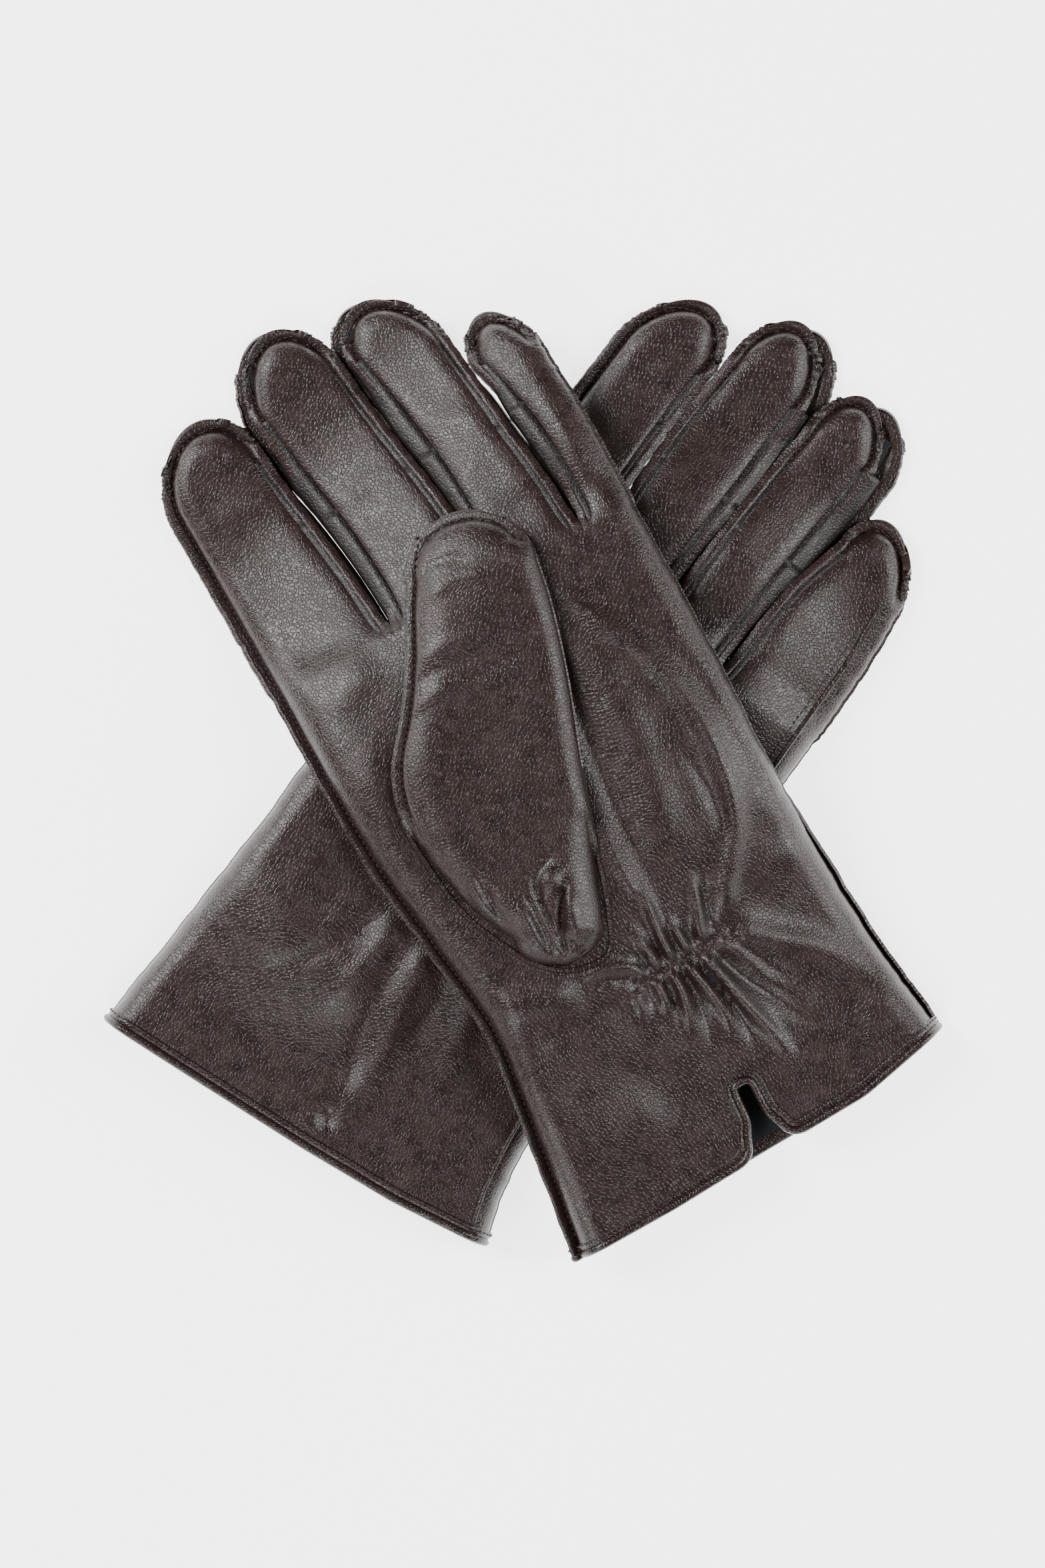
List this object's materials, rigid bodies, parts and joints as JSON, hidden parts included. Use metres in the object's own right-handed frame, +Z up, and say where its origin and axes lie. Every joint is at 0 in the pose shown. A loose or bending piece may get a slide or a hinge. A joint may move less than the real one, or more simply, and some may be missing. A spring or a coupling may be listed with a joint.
{
  "type": "leather gloves",
  "caption": "Pair of dress gloves in dark brown leather, lying crossed: one with its back up, the other over it with its palm and thumb up. Knitted lining, elastic wrist, bound hem with a vent.",
  "frame": {"origin": "on the table, under the middle of the crossed pair", "axes": "+Z up from the table, +Y along the fingers' general direction, +X from the left glove's fingertips side towards the right glove's fingertips side"},
  "size_m": [0.2224, 0.2538, 0.0349],
  "materials": {
    "leather": "semi-gloss nappa",
    "fourchette_leather": "satin",
    "binding_leather": "semi-gloss",
    "lining": "matt knit",
    "elastic": "matt woven"
  },
  "bodies": {
    "right_hand": {"right_palm": "leather", "right_back": "leather", "right_thumb_root": "leather", "right_index_middle_fork": "fourchette_leather", "right_middle_ring_fork": "fourchette_leather", "right_ring_little_fork": "fourchette_leather", "right_palm_lining": "lining", "right_back_lining": "lining", "right_elastic": "elastic", "right_hem_binding": "binding_leather"},
    "right_index_finger": {"right_index_palm": "leather", "right_index_back": "leather", "right_index_lining": "lining", "right_index_inner_fourchette": "fourchette_leather"},
    "right_middle_finger": {"right_middle_palm": "leather", "right_middle_back": "leather", "right_middle_lining": "lining", "right_middle_outer_fourchette": "fourchette_leather", "right_middle_inner_fourchette": "fourchette_leather"},
    "right_ring_finger": {"right_ring_palm": "leather", "right_ring_back": "leather", "right_ring_lining": "lining", "right_ring_outer_fourchette": "fourchette_leather", "right_ring_inner_fourchette": "fourchette_leather"},
    "right_little_finger": {"right_little_palm": "leather", "right_little_back": "leather", "right_little_lining": "lining", "right_little_outer_fourchette": "fourchette_leather"},
    "right_thumb": {"right_thumb": "leather", "right_thumb_lining": "lining"},
    "left_hand": {"left_palm": "leather", "left_back": "leather", "left_thumb_root": "leather", "left_index_middle_fork": "fourchette_leather", "left_middle_ring_fork": "fourchette_leather", "left_ring_little_fork": "fourchette_leather", "left_palm_lining": "lining", "left_back_lining": "lining", "left_elastic": "elastic", "left_hem_binding": "binding_leather"},
    "left_index_finger": {"left_index_palm": "leather", "left_index_back": "leather", "left_index_lining": "lining", "left_index_inner_fourchette": "fourchette_leather"},
    "left_middle_finger": {"left_middle_palm": "leather", "left_middle_back": "leather", "left_middle_lining": "lining", "left_middle_outer_fourchette": "fourchette_leather", "left_middle_inner_fourchette": "fourchette_leather"},
    "left_ring_finger": {"left_ring_palm": "leather", "left_ring_back": "leather", "left_ring_lining": "lining", "left_ring_outer_fourchette": "fourchette_leather", "left_ring_inner_fourchette": "fourchette_leather"},
    "left_little_finger": {"left_little_palm": "leather", "left_little_back": "leather", "left_little_lining": "lining", "left_little_outer_fourchette": "fourchette_leather"},
    "left_thumb": {"left_thumb": "leather", "left_thumb_lining": "lining"}
  },
  "joints": [
    {"name": "left_glove_lift", "type": "slide", "parent": "right_hand", "child": "left_hand", "axis": [0, 0, 1], "range_m": [0, 0.12]},
    {"name": "left_index_bend", "type": "hinge", "parent": "left_hand", "child": "left_index_finger", "pos_m": [-0.06927, 0.0606, 0.00848], "axis": [0.8314, 0.5432, 0.1171], "range_deg": [0, 60]},
    {"name": "left_middle_bend", "type": "hinge", "parent": "left_hand", "child": "left_middle_finger", "pos_m": [-0.03946, 0.07672, 0.01346], "axis": [0.8492, 0.5055, 0.1529], "range_deg": [0, 60]},
    {"name": "left_ring_bend", "type": "hinge", "parent": "left_hand", "child": "left_ring_finger", "pos_m": [-0.01476, 0.09007, 0.01827], "axis": [0.9258, 0.3084, 0.2187], "range_deg": [0, 60]},
    {"name": "left_little_bend", "type": "hinge", "parent": "left_hand", "child": "left_little_finger", "pos_m": [0.00479, 0.10064, 0.02119], "axis": [0.9574, 0.2885, -0.015], "range_deg": [0, 60]},
    {"name": "left_thumb_bend", "type": "hinge", "parent": "left_hand", "child": "left_thumb", "pos_m": [-0.00825, -0.00148, 0.03525], "axis": [0.9748, 0.2233, 0], "range_deg": [0, 60]},
    {"name": "right_index_bend", "type": "hinge", "parent": "right_hand", "child": "right_index_finger", "pos_m": [0.02697, 0.0998, 0.00734], "axis": [0.8895, -0.4354, 0.1387], "range_deg": [0, 55]},
    {"name": "right_middle_bend", "type": "hinge", "parent": "right_hand", "child": "right_middle_finger", "pos_m": [0.045, 0.07975, 0.01224], "axis": [0.8239, -0.5641, 0.0542], "range_deg": [0, 55]},
    {"name": "right_ring_bend", "type": "hinge", "parent": "right_hand", "child": "right_ring_finger", "pos_m": [0.06269, 0.06231, 0.01267], "axis": [0.8192, -0.5628, -0.1098], "range_deg": [0, 55]},
    {"name": "right_little_bend", "type": "hinge", "parent": "right_hand", "child": "right_little_finger", "pos_m": [0.07807, 0.03801, 0.00994], "axis": [0.7238, -0.6477, -0.2381], "range_deg": [0, 55]},
    {"name": "right_thumb_bend", "type": "hinge", "parent": "right_hand", "child": "right_thumb", "pos_m": [-0.01289, 0.01167, -0.0003], "axis": [-0.6626, 0.749, 0], "range_deg": [0, 50]}
  ]
}
